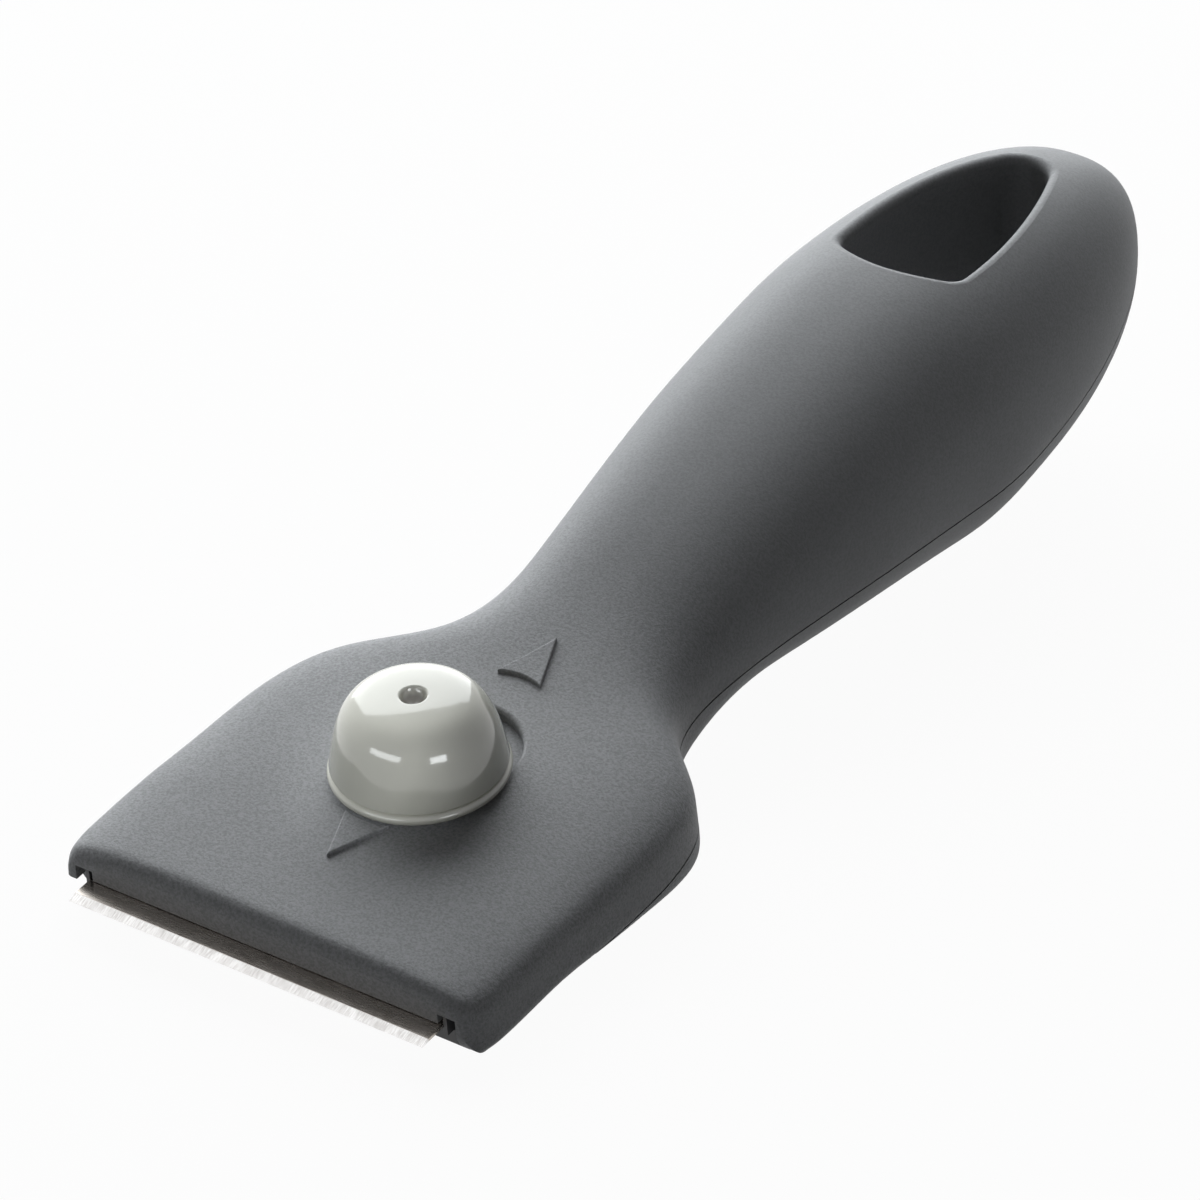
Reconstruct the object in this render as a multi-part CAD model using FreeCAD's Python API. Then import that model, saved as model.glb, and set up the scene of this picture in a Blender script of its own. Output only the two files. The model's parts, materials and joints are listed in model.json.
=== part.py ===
import FreeCAD, Part

import math
import os

# Ceramic hob scraper with a blade that slides in and out.
# It is drawn in the tool's own frame: X across, Y from the lip above the blade (zero)
# to the end of the handle, Z up from the underside of the head, all in millimetres.
# At the end it is laid down as it rests on a table, on its belly and its nose.

Vector = FreeCAD.Vector

# Blade
blade_width = 40.0
blade_depth = 22.0
blade_thickness = 0.3
blade_bevel = 1.0
blade_edge = 0.03
blade_out = 3.05
blade_hole_radius = 2.0
blade_hole_spacing = 20.0
blade_hole_setback = 12.0

# Slide
travel = 4.4
slide_clearance = 0.3
flat_clearance = 0.1
overrun = 2.0

# Stack of the head, from its underside to its top
cover_drop = 0.1
cover_thickness = 1.6
cover_clearance = 0.35
keeper_thickness = 1.5
plate_thickness = 1.75
ceiling_clearance = 0.35
top_wall = 1.8
cover_bottom = cover_drop
cover_top = cover_bottom + cover_thickness
keeper_bottom = cover_top + cover_clearance
blade_bottom = keeper_bottom + keeper_thickness
blade_top = blade_bottom + blade_thickness
plate_top = blade_top + plate_thickness
ceiling = plate_top + ceiling_clearance
head_top = ceiling + top_wall

# Head
side_room = 1.5
side_wall = 2.1
front_wall = 1.9
front_roll = 1.4
corner_inset = 1.4
corner_length = 5.0
nose_round = 3.0
relief_length = 3.0
relief_height = 2.75
head_length = 39.0
step_setback = 18.8
cavity_half_width = blade_width / 2 + side_room
head_half_width = cavity_half_width + side_wall
lip_inset = 0.45
lip_gap = 0.1
notch_height = 1.15

# Handle
grip_length = 61.3
cap_length = 40.1
handle_half_width = 15.6
handle_crown = 17.95
handle_belly = 12.2
shell_wall = 2.3
parting_gap = 0.2
parting_height = 0.6
cap_power = 2.17
cap_lift = 1.2
cap_lift_power = 4.0
section_points = 64
section_samples = 720
body_length = head_length + grip_length + cap_length
cap_start = head_length + grip_length

# Stations of the body: place, half width, rise of the top, depth of the belly,
# squareness of the upper and lower half
roll_shares = (0.0, 0.08, 0.27, 0.57, 1.0)
corner_shares = (0.42, 0.66, 1.0)
head_place_shares = (0.36, 0.5, 0.667, 0.846, 1.0)
head_width_shares = (1.0, 1.0, 1.0, 0.976, 0.872)
head_rise_shares = (0.0, 0.0, 0.0, 0.004, 0.012)
head_belly_shares = (0.0, 0.055, 0.11, 0.22, 0.335)
head_powers = ((4.2, 9.0), (3.8, 9.0), (3.6, 9.0), (3.5, 7.5), (3.3, 6.0))
grip_place_shares = (0.098, 0.212, 0.343, 0.506, 0.701, 0.914, 1.0)
grip_width_shares = (0.924, 0.77, 0.788, 0.853, 0.93, 0.98, 1.0)
grip_rise_shares = (0.059, 0.162, 0.348, 0.574, 0.799, 0.97, 1.0)
grip_belly_shares = (0.405, 0.44, 0.471, 0.57, 0.735, 0.935, 1.0)
grip_powers = ((3.0, 4.4), (2.6, 3.3), (2.35, 2.35), (2.35, 2.35), (2.35, 2.35), (2.35, 2.35), (2.35, 2.35))
cap_place_shares = (0.2, 0.4, 0.58, 0.73, 0.85, 0.93, 0.98, 0.998)
cap_powers = (2.35, 2.35)
draft_share = 0.014

# Parting line of the shells along the handle: place by the body's length, height by the belly's depth
parting_place_shares = (0.3, 0.43, 0.61, 0.745, 0.885, 1.03)
parting_height_shares = (0.0, 0.03, -0.12, -0.23, -0.03, 0.25)

# Hanging hole
hole_end_setback = 10.9
hole_length = 27.3
hole_width = 13.6
hole_bow = 2.6
hole_corner = 2.6
hole_tip = 2.6
hole_rim = 0.8
hole_shoulder_share = 0.4
hole_side_share = 0.93
collar_gap = 0.4
collar_wall = 1.8
collar_clearance = 0.15

# Knob's track and arrow marks
knob_place = 24.6
track_radius = 6.9
track_depth = 1.1
track_rim = 0.4
mark_length = 6.2
mark_half_width = 2.45
mark_raise = 0.42
mark_edge = 0.14
mark_bow = 0.5
mark_setback = 10.2
mark_gap = 4.3

# Carriage
cheek_thickness = 0.4
cheek_play = 0.05
cheek_rise = 0.95
cheek_drop = 0.75
cheek_setback = 0.15
bar_lip = 1.9
blade_stop_height = 1.2
tongue_half_width = 8.5
tongue_reach = 1.0
tongue_clearance = 0.3
cavity_room = 4.25
boss_radius = 3.9
carriage_chamfer = 1.0
boss_top_gap = 0.3

# Friction spring
spring_length = 16.0
spring_width = 4.0
spring_thickness = 0.3
spring_pocket = 0.85
spring_play = 0.4
spring_place = 8.0
spring_gap = 0.05

# Blade keeper
keeper_half_width = 17.0
keeper_depth = 10.0
keeper_setback = 3.4

# Knob
knob_radius = 8.6
knob_height = 8.7
knob_lip = 0.55
flank_radius_shares = (0.972, 0.94, 0.885, 0.795, 0.65, 0.4, 0.0)
flank_height_shares = (0.155, 0.34, 0.565, 0.78, 0.925, 0.985, 1.0)
knob_wall = 1.5
knob_dimple_radius = 1.3
knob_dimple_depth = 1.05
knob_dimple_rim = 0.25
knob_stem_radius = 3.0
knob_stem_depth = 1.9
knob_stem_play = 0.1

# Screws
fit = 0.05
hole_play = 0.15
recess_play = 0.3
keeper_screw_radius = 0.9
keeper_head_radius = 1.75
keeper_head_height = 0.9
knob_screw_radius = 1.2
knob_head_radius = 2.2
knob_head_height = 1.2
knob_screw_reach = 5.5
washer_radius = 2.6
washer_thickness = 0.5
cover_screw_radius = 1.0
cover_head_radius = 2.0
cover_head_height = 0.7
shell_screw_radius = 1.2
shell_head_radius = 2.2
shell_head_height = 1.3
shell_screw_length = 5.5
shell_clamp = 1.6
slot_width = 0.6
slot_depth_share = 0.5
boss_wall = 1.8
head_boss_offset = 12.0
head_boss_place = 36.0
neck_boss_setback = 19.0
hole_boss_setback = 12.2

# Blade cover
cover_setback = 2.1
cover_end_gap = 0.2
rail_thickness = 0.6
tab_length = 4.0
tab_setback = 4.0
tab_reach = 1.0
tab_thickness = 0.75
tab_play = 0.15
lug_half_width = 5.0
lug_length = 6.5
lug_thickness = 1.0
lug_play = 0.15
lug_seat = 0.05
pad_thickness = 1.1

# Rest on a table, in degrees
rest_tilt = 7.4

# Worked out from the sizes above
lug_top = cover_bottom + lug_thickness
pad_top = lug_top + lug_seat + pad_thickness
tongue_bottom = pad_top + tongue_clearance
cover_end = step_setback - cover_end_gap
blade_end = blade_depth - blade_out
bar_front = front_wall + slide_clearance
bar_end = blade_end + bar_lip
cavity_end = bar_end + travel + cavity_room
slot_radius = boss_radius + slide_clearance
slot_end = knob_place + travel + slot_radius
track_end = knob_place + travel + track_radius
tongue_end = slot_end + tongue_reach
knob_bottom = head_top + boss_top_gap
knob_top = knob_bottom + knob_height
stem_bottom = knob_bottom - knob_stem_depth
carriage_half_width = cavity_half_width - slide_clearance
lip_half_width = blade_width / 2 - lip_inset
lip_bottom = blade_top + lip_gap
notch_top = blade_top + notch_height
rail_inner = carriage_half_width - rail_thickness
rail_top = blade_top - flat_clearance
cheek_inner = blade_width / 2 + cheek_play
screw_hole_places = (-blade_hole_spacing / 2, blade_hole_spacing / 2)
blade_hole_place = blade_end - blade_hole_setback
spring_floor = plate_top - spring_pocket
hole_front = body_length - hole_end_setback - hole_length


def block(x0, x1, y0, y1, z0, z1):
    return Part.makeBox(x1 - x0, y1 - y0, z1 - z0, Vector(x0, y0, z0))


def eased_block(half, y0, y1, z0, z1, ease):
    """Block centred across the tool, with its two upper long edges eased off."""
    outline = ((-half, z0), (half, z0), (half, z1 - ease),
               (half - ease, z1), (ease - half, z1), (-half, z1 - ease))
    points = [Vector(x, y0, z) for x, z in outline + outline[:1]]
    return Part.Face(Part.makePolygon(points)).extrude(Vector(0, y1 - y0, 0))


def post(radius, x, y, z0, z1):
    return Part.makeCylinder(radius, z1 - z0, Vector(x, y, z0))


def prism(wire, z0, z1):
    face = Part.Face(wire)
    face.translate(Vector(0, 0, z0 - face.BoundBox.ZMin))
    return face.extrude(Vector(0, 0, z1 - z0))


def signed_power(value, power):
    return math.copysign(abs(value) ** power, value)


def section(y, half_width, top, bottom, powers, draft, inset):
    """Rounded cross-section: a squared oval, with its points evenly spaced along it."""
    middle = (top + bottom) / 2
    half_height = (top - bottom) / 2 - inset
    loop = []
    for i in range(section_samples + 1):
        angle = 2 * math.pi * i / section_samples - math.pi / 2
        power = 2 / powers[0] if math.sin(angle) > 0 else 2 / powers[1]
        up = signed_power(math.sin(angle), power)
        across = signed_power(math.cos(angle), power) * (1 - draft * up)
        loop.append(Vector((half_width - inset) * across, y, middle + half_height * up))
    run = [0.0]
    for a, b in zip(loop, loop[1:]):
        run.append(run[-1] + a.distanceToPoint(b))
    points = []
    k = 0
    for i in range(section_points):
        goal = run[-1] * i / section_points
        while run[k + 1] < goal:
            k += 1
        share = (goal - run[k]) / (run[k + 1] - run[k])
        points.append(loop[k] + (loop[k + 1] - loop[k]) * share)
    curve = Part.BSplineCurve()
    knots = [float(i) for i in range(section_points + 1)]
    curve.interpolate(Points=points, PeriodicFlag=True, Parameters=knots)
    return Part.Wire(curve.toShape())


def body_stations():
    """Place, half width, top, bottom, powers and draft of each station, from the lip to the end."""
    stations = []
    places = [front_roll * share for share in roll_shares]
    places += [corner_length * share for share in corner_shares]
    for y in places:
        drop = front_roll - math.sqrt(front_roll ** 2 - max(front_roll - y, 0) ** 2)
        inset = corner_inset * (1 - math.sqrt(1 - (1 - y / corner_length) ** 2))
        stations.append((y, head_half_width - inset, head_top - drop, 0, head_powers[0], draft_share))
    rise = handle_crown - head_top
    for place, width, lift, belly, powers in zip(
            head_place_shares, head_width_shares, head_rise_shares, head_belly_shares, head_powers):
        stations.append((place * head_length, width * head_half_width, head_top + lift * rise,
                         -belly * handle_belly, powers, draft_share))
    for place, width, lift, belly, powers in zip(
            grip_place_shares, grip_width_shares, grip_rise_shares, grip_belly_shares, grip_powers):
        stations.append((head_length + place * grip_length, width * handle_half_width, head_top + lift * rise,
                         -belly * handle_belly, powers, 0))
    middle = (handle_crown - handle_belly) / 2
    half_height = (handle_crown + handle_belly) / 2
    for share in cap_place_shares:
        k = (1 - share ** cap_power) ** (1 / cap_power)
        lifted = middle + cap_lift * share ** cap_lift_power
        stations.append((cap_start + share * cap_length, k * handle_half_width, lifted + k * half_height,
                         lifted - k * half_height, cap_powers, 0))
    return stations


def body_outside():
    return Part.makeLoft([section(*station, 0) for station in body_stations()], True, False)


def body_inside(wall):
    """Hollow of the rear head and the handle, a wall's thickness inside the body."""
    front = head_place_shares[0] * head_length
    chosen = [station for station in body_stations() if front < station[0] < body_length - wall]
    return Part.makeLoft([section(*station, wall) for station in chosen], True, False)


def parting_region(shift, upward):
    """Everything above or below the parting line: straight at the head, waving along the handle."""
    far = body_length
    reach = head_half_width + overrun
    points = [Vector(-reach, place * body_length, parting_height + lift * handle_belly + shift)
              for place, lift in zip(parting_place_shares, parting_height_shares)]
    wave = Part.BSplineCurve()
    wave.interpolate(Points=points)
    front = Vector(-reach, -overrun - blade_out, parting_height + shift)
    edge_z = far if upward else -far
    corners = (points[-1], Vector(-reach, points[-1].y, edge_z), Vector(-reach, front.y, edge_z),
               front, points[0])
    edges = [wave.toShape()]
    for a, b in zip(corners, corners[1:]):
        edges.append(Part.makeLine(a, b))
    return Part.Face(Part.Wire(edges)).extrude(Vector(2 * reach, 0, 0))


def slot_outline(radius, y0, y1):
    left = Vector(-radius, y0, 0)
    right = Vector(radius, y0, 0)
    rear_right = Vector(radius, y1, 0)
    rear_left = Vector(-radius, y1, 0)
    return Part.Wire([
        Part.Arc(left, Vector(0, y0 - radius, 0), right).toShape(),
        Part.makeLine(right, rear_right),
        Part.Arc(rear_right, Vector(0, y1 + radius, 0), rear_left).toShape(),
        Part.makeLine(rear_left, left)])


def hole_outline(grow):
    """Rounded three-sided outline: a bowed edge towards the head, two long sides and a narrow tip."""
    half = hole_width / 2
    corner_y = hole_front + hole_bow
    tip_y = hole_front + hole_length
    side_y = corner_y + hole_shoulder_share * hole_length
    left = Vector(-half, corner_y, 0)
    right = Vector(half, corner_y, 0)
    tip_left = Vector(-hole_tip, tip_y - hole_tip / 2, 0)
    tip_right = Vector(hole_tip, tip_y - hole_tip / 2, 0)
    side = hole_side_share * half
    sharp = Part.Wire([
        Part.Arc(left, Vector(0, hole_front, 0), right).toShape(),
        Part.Arc(right, Vector(side, side_y, 0), tip_right).toShape(),
        Part.Arc(tip_right, Vector(0, tip_y, 0), tip_left).toShape(),
        Part.Arc(tip_left, Vector(-side, side_y, 0), left).toShape()])
    rounded = sharp.makeOffset2D(-hole_corner).makeOffset2D(hole_corner + grow)
    return Part.Wire(rounded.Edges)


def mark_outline(base_y, apex_y):
    """Arrow mark: a triangle with its base hollowed a little."""
    inward = math.copysign(mark_bow, apex_y - base_y)
    left = Vector(-mark_half_width, base_y, 0)
    right = Vector(mark_half_width, base_y, 0)
    apex = Vector(0, apex_y, 0)
    return Part.Wire([
        Part.Arc(left, Vector(0, base_y + inward, 0), right).toShape(),
        Part.makeLine(right, apex),
        Part.makeLine(apex, left)])


def marks(outside):
    """The two arrow marks, standing a little above the head."""
    rear_base = track_end + mark_gap
    outlines = (mark_outline(mark_setback + mark_length, mark_setback),
                mark_outline(rear_base, rear_base + mark_length))
    lifted = outside.copy()
    lifted.translate(Vector(0, 0, mark_raise))
    raised = []
    for outline in outlines:
        mark = prism(outline, ceiling + top_wall / 2, handle_crown).common(lifted)
        top = max(mark.Faces, key=lambda face: face.CenterOfMass.z)
        raised.append(mark.makeFillet(mark_edge, top.Edges))
    return raised[0].fuse(raised[1])


def boss_places():
    """Place across, place along and seat height of each pair of screw bosses."""
    seat = parting_height - parting_gap / 2
    wave = parting_region(0, False)
    places = [(-head_boss_offset, head_boss_place, seat), (head_boss_offset, head_boss_place, seat)]
    for y in (head_length + neck_boss_setback, hole_front - hole_boss_setback):
        line = Part.makeLine(Vector(0, y, -body_length), Vector(0, y, body_length))
        places.append((0, y, line.common(wave).BoundBox.ZMax - parting_gap / 2))
    return places


def rim_edges(shell, skin, half_width, y0, y1):
    """Rim of an opening in the top of the body: the edges on its skin inside a box."""
    rim = []
    for edge in shell.Edges:
        box = edge.BoundBox
        middle = edge.valueAt((edge.FirstParameter + edge.LastParameter) / 2)
        inside = box.YMin > y0 and box.YMax < y1 and max(-box.XMin, box.XMax) < half_width
        if inside and middle.z > ceiling and Part.Vertex(middle).distToShape(skin)[0] < fit:
            rim.append(edge)
    return rim


def upper_shell(outside, inside, places):
    shell = outside.common(parting_region(0, True)).cut(inside)
    for x, y, seat in places:
        boss = post(shell_screw_radius + boss_wall, x, y, seat, handle_crown).common(outside)
        shell = shell.fuse(boss)
    way = tongue_half_width + slide_clearance
    way_end = tongue_end + travel + slide_clearance
    cavity = eased_block(cavity_half_width, front_wall, cavity_end, -overrun, ceiling, carriage_chamfer)
    shell = shell.cut(cavity)
    shell = shell.cut(block(-way, way, front_wall, way_end, -overrun, ceiling))
    for x, y, seat in places:
        bore_top = seat - shell_clamp + shell_screw_length + fit
        shell = shell.cut(post(shell_screw_radius + fit, x, y, seat - overrun, bore_top))
    mouth = block(-cavity_half_width, cavity_half_width, -overrun, front_wall + overrun, -overrun, lip_bottom)
    shell = shell.cut(mouth)
    for side in (-1, 1):
        inner, outer = sorted((side * lip_half_width, side * cavity_half_width))
        shell = shell.cut(block(inner, outer, -overrun, front_wall + overrun, -overrun, notch_top))
        shell = shell.cut(tab_slot(side))
    shell = shell.cut(nose_trim())
    shell = shell.cut(block(-head_half_width - overrun, -cavity_half_width, -overrun, relief_length,
                            -overrun, parting_height + relief_height))
    slot = slot_outline(slot_radius, knob_place, knob_place + travel)
    shell = shell.cut(prism(slot, ceiling - overrun, head_top + overrun))
    track = slot_outline(track_radius, knob_place, knob_place + travel)
    shell = shell.cut(prism(track, head_top - track_depth, head_top + overrun))
    shell = shell.cut(prism(hole_outline(0), 0, handle_crown + overrun)).removeSplitter()
    skin = outside.Shells[0]
    shell = shell.makeFillet(track_rim, rim_edges(
        shell, skin, track_radius + track_rim, knob_place - track_radius - track_rim, track_end + track_rim))
    shell = shell.makeFillet(hole_rim, rim_edges(
        shell, skin, hole_width / 2 + hole_rim, hole_front - hole_rim, hole_front + hole_length + hole_rim))
    return shell.fuse(marks(outside))


def nose_trim():
    """What the rounded lower front corners of the side walls leave out."""
    x = -head_half_width - overrun
    low = parting_height - overrun
    corner = Vector(x, 0, parting_height + nose_round)
    foot = Vector(x, nose_round, parting_height)
    inward = nose_round * (1 - math.sqrt(1 / 2))
    middle = Vector(x, inward, parting_height + inward)
    outline = (foot, Vector(x, nose_round, low), Vector(x, -overrun, low),
               Vector(x, -overrun, corner.z), corner)
    edges = [Part.Arc(corner, middle, foot).toShape()]
    for a, b in zip(outline, outline[1:]):
        edges.append(Part.makeLine(a, b))
    return Part.Face(Part.Wire(edges)).extrude(Vector(-2 * x, 0, 0))


def tab_slot(side):
    """Groove in a side wall that takes one tab of the blade cover."""
    reach = carriage_half_width + tab_reach + tab_play
    inner, outer = sorted((side * (cavity_half_width - overrun), side * reach))
    return block(inner, outer, tab_setback - tab_play, tab_setback + tab_length + tab_play,
                 rail_top - tab_thickness - tab_play, rail_top + tab_play)


def lower_shell(outside, inside, limit, places):
    below = parting_region(-parting_gap, False)
    reach = head_half_width + overrun
    behind_step = block(-reach, reach, step_setback, body_length + overrun, -body_length, body_length)
    solid = outside.common(below).common(behind_step)
    shell = solid.cut(inside)
    pad = block(-lug_half_width - boss_wall, lug_half_width + boss_wall, step_setback,
                step_setback + lug_length + boss_wall, 0, pad_top)
    shell = shell.fuse(pad)
    for x, y, seat in places:
        shell = shell.fuse(post(shell_head_radius + recess_play + boss_wall, x, y, -body_length, seat).common(
            outside.common(block(-reach, reach, step_setback, body_length, -body_length, seat))))
    ring = prism(hole_outline(collar_gap + collar_wall), -body_length, body_length)
    shell = shell.fuse(ring.common(limit)).fuse(ring.common(solid))
    shell = shell.cut(prism(hole_outline(collar_gap), -body_length, body_length))
    for x, y, seat in places:
        head_seat = seat - shell_clamp
        shell = shell.cut(post(shell_screw_radius + hole_play, x, y, head_seat - overrun, seat + overrun))
        shell = shell.cut(post(shell_head_radius + recess_play, x, y, -body_length, head_seat))
    pocket = block(-lug_half_width - lug_play, lug_half_width + lug_play, step_setback - overrun,
                   step_setback + lug_length + lug_play, -body_length, lug_top + lug_seat)
    shell = shell.cut(pocket)
    screw_y = step_setback + lug_length / 2
    return shell.cut(post(cover_screw_radius + fit, 0, screw_y, lug_top, pad_top + overrun))


def blade_cover():
    """Plate under the blade, with two guide rails, two tabs at the front and a screwed lug behind."""
    half = carriage_half_width
    cover = block(-half, half, cover_setback, cover_end, cover_bottom, cover_top)
    for side in (-1, 1):
        inner, outer = sorted((side * rail_inner, side * half))
        cover = cover.fuse(block(inner, outer, cover_setback, cover_end, cover_bottom, rail_top))
        inner, outer = sorted((side * rail_inner, side * (half + tab_reach)))
        cover = cover.fuse(block(inner, outer, tab_setback, tab_setback + tab_length,
                                 rail_top - tab_thickness, rail_top))
    lug = block(-lug_half_width, lug_half_width, cover_end - lug_length, step_setback + lug_length,
                cover_bottom, lug_top)
    cover = cover.fuse(lug)
    screw_y = step_setback + lug_length / 2
    hole = post(cover_screw_radius + hole_play, 0, screw_y, cover_bottom - overrun, lug_top + overrun)
    return cover.cut(hole).removeSplitter()


def slotted_screw(radius, length, head_radius, head_height):
    """Screw that points up from the origin, its head below, with a straight driver slot."""
    screw = post(radius, 0, 0, 0, length).fuse(post(head_radius, 0, 0, -head_height, 0))
    slot = block(-slot_width / 2, slot_width / 2, -head_radius - overrun, head_radius + overrun,
                 -head_height - overrun, -head_height * (1 - slot_depth_share))
    return screw.cut(slot).removeSplitter()


def screw_at(screw, x, y, z):
    placed = screw.copy()
    placed.translate(Vector(x, y, z))
    return placed


def cover_screw():
    length = pad_top - cover_bottom
    screw = slotted_screw(cover_screw_radius, length, cover_head_radius, cover_head_height)
    return screw_at(screw, 0, step_setback + lug_length / 2, cover_bottom)


def shell_screws(places):
    screw = slotted_screw(shell_screw_radius, shell_screw_length, shell_head_radius, shell_head_height)
    return Part.makeCompound([screw_at(screw, x, y, seat - shell_clamp) for x, y, seat in places])


def scraper_blade():
    """Steel blade, ground on its upper side to one sharp edge, with two holes."""
    outline = Part.makePolygon([
        Vector(-blade_width / 2, -blade_out, blade_bottom),
        Vector(-blade_width / 2, -blade_out, blade_bottom + blade_edge),
        Vector(-blade_width / 2, -blade_out + blade_bevel, blade_top),
        Vector(-blade_width / 2, blade_end, blade_top),
        Vector(-blade_width / 2, blade_end, blade_bottom),
        Vector(-blade_width / 2, -blade_out, blade_bottom)])
    blade = Part.Face(outline).extrude(Vector(blade_width, 0, 0))
    for x in screw_hole_places:
        hole = post(blade_hole_radius, x, blade_hole_place, blade_bottom - overrun, blade_top + overrun)
        blade = blade.cut(hole)
    return blade


def blade_carriage():
    """Sliding plate: a wide bar over the blade, a tongue behind it and a round boss through the slot."""
    half = carriage_half_width
    carriage = eased_block(half, bar_front, bar_end, blade_top, plate_top, carriage_chamfer)
    for side in (-1, 1):
        inner, outer = sorted((side * cheek_inner, side * (cheek_inner + cheek_thickness)))
        carriage = carriage.fuse(block(inner, outer, cheek_setback, bar_end,
                                       blade_bottom - cheek_drop, blade_top + cheek_rise))
    stop_half = tongue_half_width + bar_lip
    stop_front = blade_end + fit
    stop = block(-stop_half, stop_half, stop_front, bar_end, blade_top - blade_stop_height, blade_top)
    carriage = carriage.fuse(stop)
    carriage = carriage.fuse(block(-tongue_half_width, tongue_half_width, stop_front, tongue_end,
                                   tongue_bottom, plate_top))
    carriage = carriage.fuse(post(boss_radius, 0, knob_place, blade_top, knob_bottom))
    for x in screw_hole_places:
        bore = post(keeper_screw_radius + fit, x, blade_hole_place, blade_bottom, plate_top + overrun)
        carriage = carriage.cut(bore)
    carriage = carriage.cut(block(
        -spring_length / 2 - spring_play, spring_length / 2 + spring_play,
        spring_place - spring_play, spring_place + spring_width + spring_play,
        spring_floor, plate_top + overrun))
    recess_top = tongue_bottom + washer_thickness + knob_head_height + fit
    recess = post(washer_radius + recess_play, 0, knob_place, tongue_bottom - overrun, recess_top)
    carriage = carriage.cut(recess)
    carriage = carriage.cut(post(knob_screw_radius + hole_play, 0, knob_place, tongue_bottom, knob_bottom))
    carriage = carriage.cut(post(
        knob_stem_radius + knob_stem_play, 0, knob_place, stem_bottom, knob_bottom + overrun))
    return carriage.removeSplitter()


def blade_keeper():
    """Plate that clamps the blade up against the carriage."""
    keeper = block(-keeper_half_width, keeper_half_width, keeper_setback, keeper_setback + keeper_depth,
                   keeper_bottom, blade_bottom)
    below = keeper_bottom - overrun
    for x in screw_hole_places:
        bore = post(keeper_screw_radius + hole_play, x, blade_hole_place, below, blade_bottom + overrun)
        recess = post(keeper_head_radius + recess_play, x, blade_hole_place,
                      below, keeper_bottom + keeper_head_height)
        keeper = keeper.cut(bore).cut(recess)
    return keeper


def keeper_screws():
    length = plate_top - keeper_bottom - keeper_head_height
    screw = slotted_screw(keeper_screw_radius, length, keeper_head_radius, keeper_head_height)
    return Part.makeCompound([
        screw_at(screw, x, blade_hole_place, keeper_bottom + keeper_head_height) for x in screw_hole_places])


def friction_spring():
    """Bowed steel leaf in the carriage that presses on the ceiling of the head."""
    half = spring_length / 2
    crest = ceiling - spring_gap

    def at(x, z):
        return Vector(x, spring_place, z)

    ends = (spring_floor, spring_floor + spring_thickness)
    edges = [Part.Arc(at(-half, ends[0]), at(0, crest - spring_thickness), at(half, ends[0])).toShape(),
             Part.makeLine(at(half, ends[0]), at(half, ends[1])),
             Part.Arc(at(half, ends[1]), at(0, crest), at(-half, ends[1])).toShape(),
             Part.makeLine(at(-half, ends[1]), at(-half, ends[0]))]
    return Part.Face(Part.Wire(edges)).extrude(Vector(0, spring_width, 0))


def knob_bell(inset, lip):
    """Dome turned about the knob's axis: a rolled lip, a steep flank and a wide round crown."""
    rim = knob_radius - inset
    height = knob_height - inset

    def at(radius, z):
        return Vector(radius, 0, knob_bottom + z)

    outline = [at(r * rim, z * height) for r, z in zip(flank_radius_shares, flank_height_shares)]
    flank = Part.BSplineCurve()
    flank.interpolate(Points=outline, InitialTangent=outline[1] - outline[0], FinalTangent=Vector(-rim, 0, 0))
    start = outline[0]
    edges = [
        Part.makeLine(at(0, 0), at(rim - lip, 0)),
        Part.Arc(at(rim - lip, 0), at(rim, lip), at(rim - lip, 2 * lip)).toShape(),
        Part.makeLine(at(rim - lip, 2 * lip), start),
        flank.toShape(),
        Part.makeLine(outline[-1], at(0, 0))]
    return Part.Face(Part.Wire(edges)).revolve(Vector(0, 0, 0), Vector(0, 0, 1), 360)


def thumb_knob():
    """Hollow knob with a central stem that stands in the carriage's boss."""
    bell = knob_bell(0, knob_lip)
    hollow = knob_bell(knob_wall, knob_lip)
    knob = bell.cut(hollow)
    stem = post(knob_stem_radius, 0, 0, stem_bottom, knob_top - knob_wall / 2)
    knob = knob.fuse(stem.common(bell.fuse(post(knob_stem_radius, 0, 0, stem_bottom, knob_bottom))))
    sink = knob_dimple_depth
    ball_radius = (knob_dimple_radius ** 2 + sink ** 2) / (2 * sink)
    knob = knob.cut(Part.makeSphere(ball_radius, Vector(0, 0, knob_top - sink + ball_radius)))
    rim = [edge for edge in knob.Edges if edge.BoundBox.ZMin > knob_top - sink
           and edge.BoundBox.XMax < knob_dimple_radius + knob_dimple_rim and edge.Length > knob_dimple_radius]
    knob = knob.makeFillet(knob_dimple_rim, rim)
    bore = post(knob_screw_radius + fit, 0, 0, stem_bottom - overrun, stem_bottom + knob_screw_reach)
    knob = knob.cut(bore)
    knob.translate(Vector(0, knob_place, 0))
    return knob.removeSplitter()


def knob_washer():
    seat = tongue_bottom + washer_thickness + knob_head_height + fit
    bottom = seat - washer_thickness
    ring = post(washer_radius, 0, knob_place, bottom, seat)
    return ring.cut(post(knob_screw_radius + hole_play, 0, knob_place, bottom - overrun, seat + overrun))


def knob_screw():
    seat = tongue_bottom + knob_head_height + fit
    length = stem_bottom + knob_screw_reach - seat - fit
    screw = slotted_screw(knob_screw_radius, length, knob_head_radius, knob_head_height)
    return screw_at(screw, 0, knob_place, seat)


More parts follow.
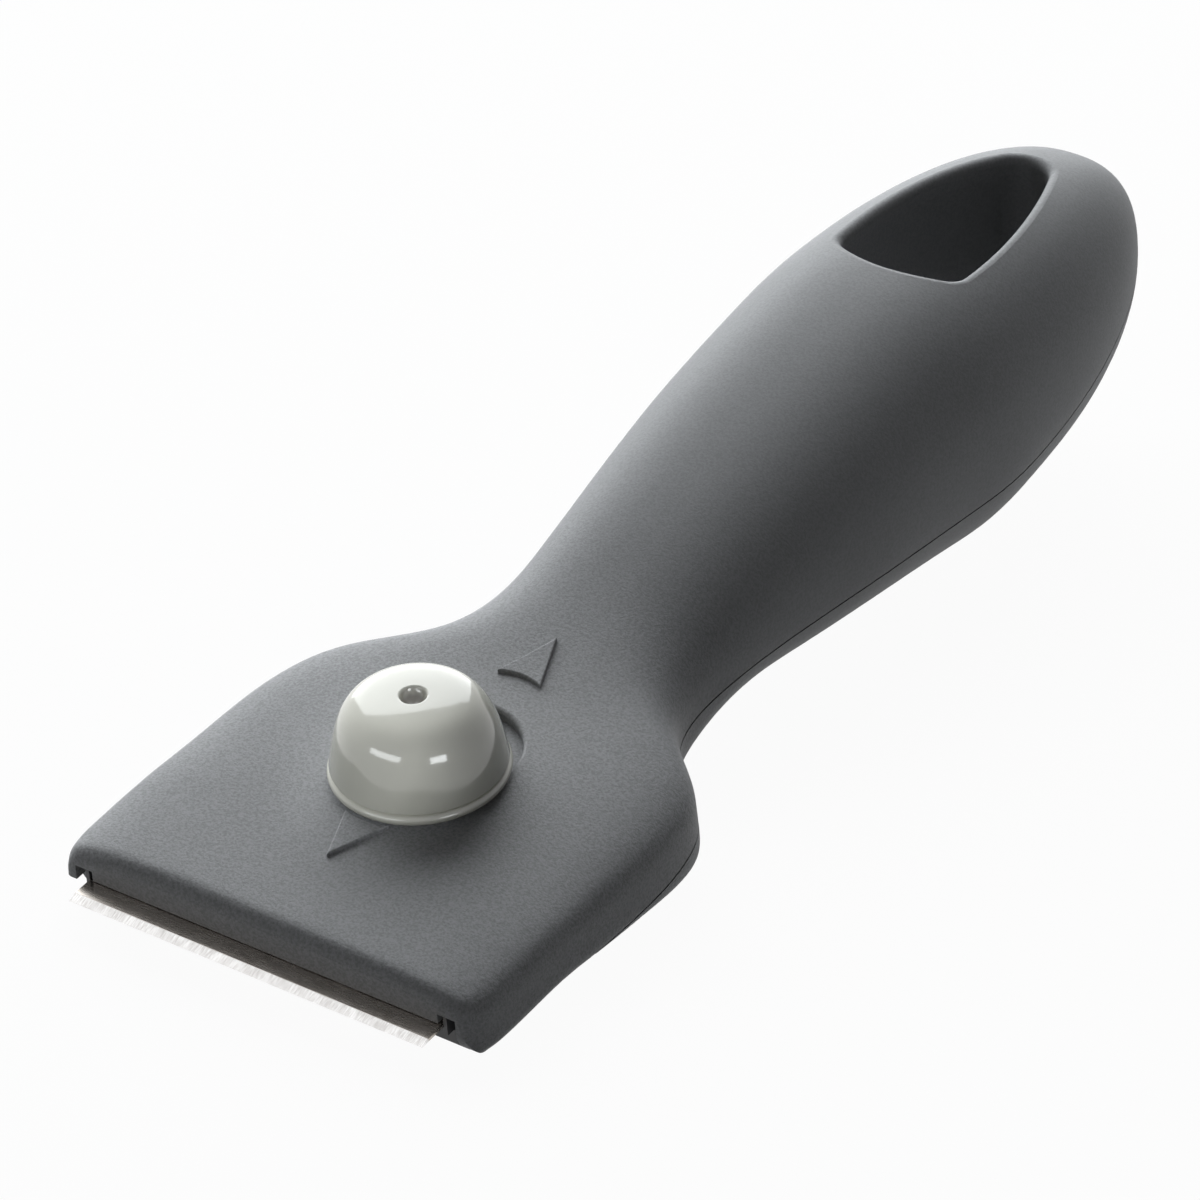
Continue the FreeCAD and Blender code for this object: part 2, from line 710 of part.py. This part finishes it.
body = body_outside()
hollow = body_inside(shell_wall)
bosses = boss_places()
parts = {
    "upper_shell": upper_shell(body, hollow, bosses),
    "lower_shell": lower_shell(body, hollow, body_inside(shell_wall + collar_clearance), bosses),
    "blade_cover": blade_cover(),
    "cover_screw": cover_screw(),
    "shell_screws": shell_screws(bosses),
    "blade_carriage": blade_carriage(),
    "scraper_blade": scraper_blade(),
    "blade_keeper": blade_keeper(),
    "keeper_screws": keeper_screws(),
    "friction_spring": friction_spring(),
    "thumb_knob": thumb_knob(),
    "knob_washer": knob_washer(),
    "knob_screw": knob_screw(),
}

# Lay the tool on the table and put the origin under the middle of its box
for shape in parts.values():
    shape.rotate(Vector(0, 0, 0), Vector(1, 0, 0), rest_tilt)
box = Part.makeCompound(list(parts.values())).optimalBoundingBox(False)
shift = Vector(-box.Center.x, -box.Center.y, -box.ZMin)
os.makedirs("parts", exist_ok=True)
for name, shape in parts.items():
    shape.translate(shift)
    shape.exportStep("parts/" + name + ".step")
    print(name, shape.isValid(), len(shape.Solids), round(shape.Volume, 1))
print("shift", shift, "box", box.XLength, box.YLength, box.ZLength)
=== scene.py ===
# %% [markdown]
# # A scraper for glass-ceramic hobs
# The tool is a hand-sized moulding: a flat head that holds a steel blade, a waist, and a swelling hollow
# handle with a hanging hole. A pale glossy knob on the head slides the blade out and in. The solids of all
# its pieces are loaded first and stay as they are, because every shape that shows is in them already. This
# lesson gives them their surfaces and sets up the camera, the floor and the light.

# %% Load the solids
import json
import math

import bmesh
import bpy
from mathutils import Matrix, Vector


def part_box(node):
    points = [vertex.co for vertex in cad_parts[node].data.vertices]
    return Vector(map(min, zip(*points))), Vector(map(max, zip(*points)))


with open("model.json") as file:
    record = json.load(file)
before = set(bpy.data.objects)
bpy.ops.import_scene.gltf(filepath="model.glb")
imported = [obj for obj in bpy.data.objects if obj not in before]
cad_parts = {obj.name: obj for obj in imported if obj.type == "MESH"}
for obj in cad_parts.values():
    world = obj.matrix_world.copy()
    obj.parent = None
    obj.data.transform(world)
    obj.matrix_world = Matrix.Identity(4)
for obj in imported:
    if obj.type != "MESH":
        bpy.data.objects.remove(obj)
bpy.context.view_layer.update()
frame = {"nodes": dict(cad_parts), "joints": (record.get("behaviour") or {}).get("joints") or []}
MM = 0.001
print("nodes:", sorted(frame["nodes"]))

# %% [markdown]
# ## The tool's own directions
# The tool lies on a table, on its belly and its nose, so its head slopes down to the front. The blade
# slides along that slope. The slide's joint gives the direction, and from it come two more axes: one across
# the tool and one square to the top of the head. Patterns that follow the head use these.

# %% Axes of the head
slide_joint = next(joint for joint in frame["joints"] if joint["name"] == "blade_slide")
ALONG = Vector(slide_joint["axis"]).normalized()
ACROSS = Vector((1, 0, 0))
UPRIGHT = ACROSS.cross(ALONG).normalized()
print("the head slopes by", round(math.degrees(math.asin(ALONG.z)), 2), "degrees")

# %% [markdown]
# ## Camera
# The picture looks down on the tool from the front right with a long lens, so the lines hardly converge.
# The camera stands on a line from its target, at a turn around the tool, a height angle and a very small
# roll. Those angles and the lens were worked out from the ends of the blade, the knob and the hole.

# %% Camera
VIEW_TURN = math.radians(34.84)
VIEW_HEIGHT = math.radians(31.04)
VIEW_ROLL = math.radians(0.84)
VIEW_TARGET = Vector((13.95, -35.85, 29.85)) * MM
VIEW_DISTANCE = 700 * MM
LENS = 232.2

camera_data = bpy.data.cameras.new("Camera")
camera_data.lens = LENS
camera_data.sensor_width = 36.0
camera_data.clip_start = 10 * MM
camera = bpy.data.objects.new("Camera", camera_data)
bpy.context.collection.objects.link(camera)
camera_turn = (Matrix.Rotation(VIEW_TURN, 4, "Z") @ Matrix.Rotation(math.pi / 2 - VIEW_HEIGHT, 4, "X")
               @ Matrix.Rotation(VIEW_ROLL, 4, "Z"))
step_back = Matrix.Translation((0, 0, VIEW_DISTANCE))
camera.matrix_world = Matrix.Translation(VIEW_TARGET) @ camera_turn @ step_back
bpy.context.scene.camera = camera
bpy.context.scene.view_settings.view_transform = "Standard"
print("camera at", [round(v, 3) for v in camera.matrix_world.translation])

# %% [markdown]
# ## Writing shaders as sums
# A material is a graph of nodes, and long graphs are hard to read. This small class wraps one output of a
# node. Adding, subtracting or multiplying two of them adds the Math node that does it, so a finish can be
# written as a formula. Every other node comes from one method, `add`.

# %% Socket maths
class Signal:
    def __init__(self, tree, socket):
        self.tree, self.socket = tree, socket

    def math(self, operation, other=None, swap=False):
        node = self.tree.nodes.new("ShaderNodeMath")
        node.operation = operation
        first, second = (other, self) if swap else (self, other)
        for port, value in zip(node.inputs, (first, second)):
            if isinstance(value, Signal):
                self.tree.links.new(value.socket, port)
            elif value is not None:
                port.default_value = value
        return Signal(self.tree, node.outputs[0])

    def __add__(self, other): return self.math("ADD", other)
    def __radd__(self, other): return self.math("ADD", other, True)
    def __sub__(self, other): return self.math("SUBTRACT", other)
    def __rsub__(self, other): return self.math("SUBTRACT", other, True)
    def __mul__(self, other): return self.math("MULTIPLY", other)
    def __rmul__(self, other): return self.math("MULTIPLY", other, True)


class Finish:
    """A new material with its shader, its Object coordinates and one way to add a node."""

    def __init__(self, name, **fixed):
        self.material = bpy.data.materials.new(name)
        self.material.use_nodes = True
        self.tree = self.material.node_tree
        self.shader = self.tree.nodes["Principled BSDF"]
        for socket, value in fixed.items():
            self.shader.inputs[socket.replace("_", " ")].default_value = value
        self.place = self.add("TexCoord", out="Object")

    def add(self, kind, settings=None, out=0, **inputs):
        """A new node. Its inputs go by their names, or by their numbers as i0, i1 and so on."""
        node = self.tree.nodes.new("ShaderNode" + kind)
        for name, value in (settings or {}).items():
            setattr(node, name, value)
        for name, value in inputs.items():
            numbered = name[0] == "i" and name[1:].isdigit()
            port = node.inputs[int(name[1:]) if numbered else name.replace("_", " ")]
            if isinstance(value, Signal):
                self.tree.links.new(value.socket, port)
            else:
                port.default_value = value
        return Signal(self.tree, node.outputs[out])

    def blend(self, factor, low, high):
        """Mix two colours."""
        return self.add("Mix", {"data_type": "RGBA"}, out=2, i0=factor, i6=low, i7=high)

    def smooth(self, value, start, end):
        """Zero before start, one after end, and a soft step between."""
        soft_step = {"interpolation_type": "SMOOTHSTEP"}
        return self.add("MapRange", soft_step, Value=value, From_Min=start, From_Max=end)

    def noise(self, scale, detail=2.0, rough=0.5, place=None):
        return self.add("TexNoise", Vector=place or self.place, Scale=scale, Detail=detail, Roughness=rough)

    def reach(self, direction, origin=(0, 0, 0)):
        """Distance along a direction, in metres, from a point."""
        offset = self.add("VectorMath", {"operation": "SUBTRACT"}, i0=self.place, i1=origin)
        return self.add("VectorMath", {"operation": "DOT_PRODUCT"}, out=1, i0=offset, i1=direction)

    def output(self):
        """The shader itself, to be mixed with another."""
        return Signal(self.tree, self.shader.outputs[0])

    def wire(self, **outputs):
        """Link values that change over the surface to the shader's sockets."""
        for socket, value in outputs.items():
            self.tree.links.new(value.socket, self.shader.inputs[socket.replace("_", " ")])

    def bump(self, height, distance, strength):
        return self.add("Bump", Height=height, Distance=distance, Strength=strength)


print("shader helpers ready")

# %% [markdown]
# ## Floor and backdrop
# The picture has a plain white ground that hardly shows the shadow. A floor lit up to white would throw far
# too much light back under the tool, so the floor is a mid grey for the light that bounces off it, and the
# camera and the mirror rays see it mixed with a plain white glow. What is left of the shadow still shows.

# %% Floor
FLOOR_HALF = 3.0
FLOOR_DROP = 0.05 * MM
FLOOR_GLOW = 0.955


def seen_rays(tree):
    """One for rays of the camera, of reflections and of glass, zero for bounced light."""
    path = tree.nodes.new("ShaderNodeLightPath").outputs
    seen = Signal(tree, path["Is Camera Ray"])
    for kind in ("Is Glossy Ray", "Is Transmission Ray"):
        seen = seen.math("MAXIMUM", Signal(tree, path[kind]))
    return seen


floor_mesh = bpy.data.meshes.new("floor")
grid = bmesh.new()
bmesh.ops.create_grid(grid, x_segments=1, y_segments=1, size=FLOOR_HALF)
bmesh.ops.translate(grid, verts=grid.verts, vec=(0, 0, -FLOOR_DROP))
grid.to_mesh(floor_mesh)
grid.free()
floor = bpy.data.objects.new("floor", floor_mesh)
bpy.context.collection.objects.link(floor)
ground = Finish("floor_white", Roughness=0.9, Specular_IOR_Level=0.1)
ground.wire(Base_Color=ground.blend(ground.noise(3.0), (0.5, 0.5, 0.5, 1), (0.53, 0.53, 0.53, 1)))
glow = ground.add("Emission", Strength=1.0)
mixed = ground.add("MixShader", i0=seen_rays(ground.tree) * FLOOR_GLOW, i1=ground.output(), i2=glow)
ground.tree.links.new(mixed.socket, ground.tree.nodes["Material Output"].inputs["Surface"])
floor_mesh.materials.append(ground.material)
print("floor", FLOOR_HALF * 2, "m wide")

# %% [markdown]
# ## World
# The world is white to look at, for the camera and in reflections, and gives only a faint fill to matt
# surfaces. The lamps do the rest, so the tool keeps its shading.

# %% World
WORLD_LIGHT = 0.04
world = bpy.data.worlds.new("studio")
world.use_nodes = True
bpy.context.scene.world = world
sky = world.node_tree.nodes["Background"]
sky.inputs["Color"].default_value = (1, 1, 1, 1)
sky_strength = seen_rays(world.node_tree) * (1 - WORLD_LIGHT) + WORLD_LIGHT
world.node_tree.links.new(sky_strength.socket, sky.inputs["Strength"])
print("faint fill of", WORLD_LIGHT)

# %% [markdown]
# ## Lamps
# The light comes from behind the tool, opposite the camera, and from its left, so the grey falls off across
# the handle to its dark right side. The back panel is the white field that the knob's top mirrors. The halo
# around it, the left panel and the low panel light matt surfaces alone and leave no image in the gloss. The
# two strips in front do the opposite: they are only the wedges of light on the knob's flank. A narrow spot
# with a tight cone reaches nothing but that flank. Each lamp is placed by a turn from the +X axis, a height
# angle and a distance, and faces what it lights.

# %% Lamps
TOOL_MIDDLE = Vector((0, 0, 10)) * MM
LAMP_DISTANCE = 1.0
LAMP_TINT = (0.95, 0.985, 1.0)
SPOT_CONE = math.radians(0.96)
SPOT_BLEND = 0.3
SPOT_RADIUS = 4 * MM


def hang(name, kind, target, turn, rise, power, mirrored=True, matt=True):
    lamp = bpy.data.lights.new(name, kind)
    lamp.energy, lamp.color = power, LAMP_TINT
    holder = bpy.data.objects.new(name, lamp)
    lifted = Matrix.Rotation(-math.radians(rise), 3, "Y") @ Vector((1, 0, 0))
    outward = Matrix.Rotation(math.radians(turn), 3, "Z") @ lifted
    holder.location = target + outward * LAMP_DISTANCE
    holder.rotation_euler = outward.to_track_quat("Z", "Y").to_euler()
    holder.visible_glossy, holder.visible_diffuse = mirrored, matt
    bpy.context.collection.objects.link(holder)
    return lamp


def soft_panel(name, turn, rise, width, height, power, **seen_by):
    lamp = hang(name, "AREA", TOOL_MIDDLE, turn, rise, power, **seen_by)
    lamp.shape, lamp.size, lamp.size_y = "RECTANGLE", width, height


soft_panel("back_panel", 133, 28, 0.95, 0.9, 7.0)
soft_panel("back_halo", 135, 30, 1.3, 1.15, 20.0, mirrored=False)
soft_panel("left_panel", 172, 15, 0.9, 0.55, 3.0, mirrored=False)
soft_panel("low_panel", 155, 6, 0.7, 0.2, 6.0, mirrored=False)
soft_panel("front_strip", 261, 12, 0.75, 0.2, 2.4, matt=False)
soft_panel("right_strip", 332, 10, 0.36, 0.2, 1.7, matt=False)
knob_low, knob_high = (Vector(corner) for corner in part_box("thumb_knob"))
knob_third = (knob_low * 2 + knob_high) / 3
spot = hang("knob_spot", "SPOT", knob_third, 300, 33, 22.0, mirrored=False)
spot.spot_size, spot.spot_blend, spot.shadow_soft_size = SPOT_CONE, SPOT_BLEND, SPOT_RADIUS

# %% [markdown]
# ## Grey shell plastic
# The shells are moulded in a spark-eroded tool, which leaves an even, very fine grain that scatters light.
# Two scales of noise make that grain in the bump, and both also speckle the colour, because the grain's pits
# hold a little shade. The grain is full on the head and worn down on the grip, which a mask along the tool
# sees to. Slow clouds keep the grey from being flat, and handling shows as patches in the roughness. The
# scales are in waves per metre, so 5600 is a grain of about a fifth of a millimetre.

# %% Shell finish
GRAIN_SCALE, PEBBLE_SCALE = 5600, 3300
GRAIN_DEPTH = 0.085 * MM
GRIP_START, GRIP_FULL = -30 * MM, 10 * MM
GRIP_WEAR = 0.55


def dress(finish, *nodes):
    """Give solids this finish in place of their plain one."""
    for name in nodes:
        slots = frame["nodes"][name].data.materials
        slots.clear()
        slots.append(finish.material)
    print(finish.material.name, "on", ", ".join(nodes))


shell = Finish("shell_plastic", Specular_IOR_Level=0.22)
grain = shell.noise(GRAIN_SCALE, 2.0, 0.6)
pebble = shell.noise(PEBBLE_SCALE, 2.0, 0.55)
texture = grain * 0.4 + pebble * 0.6
cloud = shell.noise(45, 3.0, 0.5)
handled = shell.noise(70, 3.0, 0.55)
tint = shell.blend(cloud, (0.212, 0.214, 0.220, 1), (0.226, 0.228, 0.234, 1))
pit = shell.blend(cloud, (0.142, 0.144, 0.148, 1), (0.153, 0.155, 0.159, 1))
coarse = 1 - shell.smooth(shell.reach(ALONG), GRIP_START, GRIP_FULL) * GRIP_WEAR
speck = 0.5 + (shell.smooth(texture, 0.36, 0.62) - 0.5) * coarse
shell.wire(
    Base_Color=shell.blend(speck, pit, tint),
    Roughness=0.62 - handled * 0.06 + (grain - 0.5) * 0.2,
    Normal=shell.bump(texture * coarse, GRAIN_DEPTH, 0.9))
dress(shell, "upper_shell", "lower_shell")

# %% [markdown]
# ## Slider plastic
# The carriage and the keeper are hidden but for a sliver in the slot and beside the blade, and the cover
# that they slide on closes the head from below. All three are a slippery dark plastic, smoother than the
# shells, with faint flow marks. Their colour is near black: partly the plastic's own dark grey, partly
# painted shade, for the notches and the slot that lie in deep shadow.

# %% Slider finish
FLOW_DEPTH = 0.01 * MM
# Painted shade: the near-black colour stands in for the shadow in the notches and the slot.
painted_shade_slider = Finish("slider_plastic")
flow = painted_shade_slider.noise(300, 3.0, 0.6)
painted_shade_slider.wire(
    Base_Color=painted_shade_slider.blend(flow, (0.03, 0.03, 0.032, 1), (0.042, 0.042, 0.045, 1)),
    Roughness=0.4 + flow * 0.2,
    Normal=painted_shade_slider.bump(painted_shade_slider.noise(2600), FLOW_DEPTH, 0.6))
dress(painted_shade_slider, "blade_carriage", "blade_keeper", "blade_cover")

# %% [markdown]
# ## Knob plastic
# The knob is polished warm grey plastic. Its shine comes from a low roughness and a clear coat; fine
# hairlines and finger smears break the reflections up a little. The dimple on its crown is darkened in the
# colour, a painted shade. To darken just that, the finish measures the distance from the knob's axis, which
# passes through the middle of the knob's highest points.

# %% Knob finish
CREST_BAND = 0.05 * MM
# Painted shade in the dimple: full within the first radius, gone past the second.
DIMPLE_SHADE_FULL, DIMPLE_SHADE_END = 0.75 * MM, 1.35 * MM
POLISH_DEPTH = 0.004 * MM
knob_points = [corner.co for corner in frame["nodes"]["thumb_knob"].data.vertices]
crest = max(UPRIGHT.dot(point) for point in knob_points)
crown = [point for point in knob_points if UPRIGHT.dot(point) > crest - CREST_BAND]
KNOB_TOP = sum(crown, Vector()) / len(crown)
knob = Finish("knob_plastic", Coat_Roughness=0.03)
smear = knob.noise(220, 4.0, 0.6)
hairline = knob.smooth(knob.noise(900, 6.0, 0.75), 0.58, 0.72)
gloss = knob.blend(smear, (0.43, 0.423, 0.372, 1), (0.47, 0.463, 0.41, 1))
sideways, lengthways = knob.reach(ACROSS, KNOB_TOP), knob.reach(ALONG, KNOB_TOP)
from_axis = (sideways * sideways + lengthways * lengthways).math("SQRT")
# Painted shade: the colour darkens towards the dimple's middle.
dimple_shade = 1 - knob.smooth(from_axis, DIMPLE_SHADE_FULL, DIMPLE_SHADE_END)
knob.wire(
    Base_Color=knob.blend(dimple_shade * 0.85, gloss, (0.1, 0.088, 0.075, 1)),
    Roughness=0.09 + smear * 0.06 + hairline * 0.05,
    Coat_Weight=0.8 - smear * 0.2,
    Normal=knob.bump(knob.noise(160), POLISH_DEPTH, 0.4))
dress(knob, "thumb_knob")
print("middle of the knob's crown in mm:", [round(value / MM, 2) for value in KNOB_TOP])

# %% [markdown]
# ## Blade steel
# The blade is rolled strip: a dull, slightly brown sheet with fine rolling lines. Its edge is ground, and
# the ground strip is bright with fine streaks that run straight to the edge and slow patches where the wheel
# bit deeper. One mask along the slide splits the two. The sheet mirrors the lip above it, so it looks dark.
# Streaks, patches and rolling lines are one noise each, stretched by unlike scales along and across.

# %% Blade finish
BEVEL = 1.0 * MM
STEEL_DEPTH = 0.004 * MM
blade_low, blade_high = (Vector(corner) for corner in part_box("scraper_blade"))
EDGE = Vector((0, blade_low.y, blade_low.z))
steel = Finish("blade_steel", Metallic=1.0)
from_edge = steel.reach(ALONG, EDGE)
across = steel.reach(ACROSS)


def stretched(across_scale, edge_scale, detail, rough=0.5):
    place = steel.add("CombineXYZ", X=across * across_scale, Y=from_edge * edge_scale)
    return steel.noise(1.0, detail, rough, place)


streak = stretched(11000, 900, 4.0, 0.65)
patch = stretched(700, 500, 2.0)
rolling = stretched(250, 5000, 3.0)
stain = steel.smooth(steel.noise(500, 4.0, 0.6), 0.45, 0.75)
sheet = steel.smooth(from_edge, BEVEL * 0.92, BEVEL * 1.06)
rolled = steel.blend(stain, (0.52, 0.48, 0.44, 1), (0.4, 0.36, 0.32, 1))
scored = steel.smooth(streak * 0.7 + patch * 0.3, 0.36, 0.64)
ground_steel = steel.blend(scored, (0.6, 0.58, 0.565, 1), (0.95, 0.945, 0.94, 1))
steel.wire(
    Base_Color=steel.blend(sheet, ground_steel, rolled),
    Roughness=0.16 + (streak * 0.2 + 0.1) * (1 - sheet) + rolling * sheet * 0.2,
    Normal=steel.bump(streak * (1 - sheet) + rolling * sheet * 0.5, STEEL_DEPTH, 0.8))
dress(steel, "scraper_blade")
print("ground strip", BEVEL / MM, "mm wide")

# %% [markdown]
# ## Plated screws and spring
# Screws, washer and leaf spring are zinc plated: bright, a little blue, with a soft mottle and a fine
# roughness from the plating bath.

# %% Plated finish
PLATING_DEPTH = 0.004 * MM
plated = Finish("plated_steel", Metallic=1.0)
mottle = plated.noise(900, 3.0, 0.6)
plated.wire(
    Base_Color=plated.blend(mottle, (0.5, 0.51, 0.53, 1), (0.68, 0.69, 0.7, 1)),
    Roughness=0.25 + mottle * 0.2,
    Normal=plated.bump(plated.noise(3000), PLATING_DEPTH, 0.5))
dress(plated, "cover_screw", "shell_screws", "keeper_screws", "friction_spring", "knob_washer", "knob_screw")
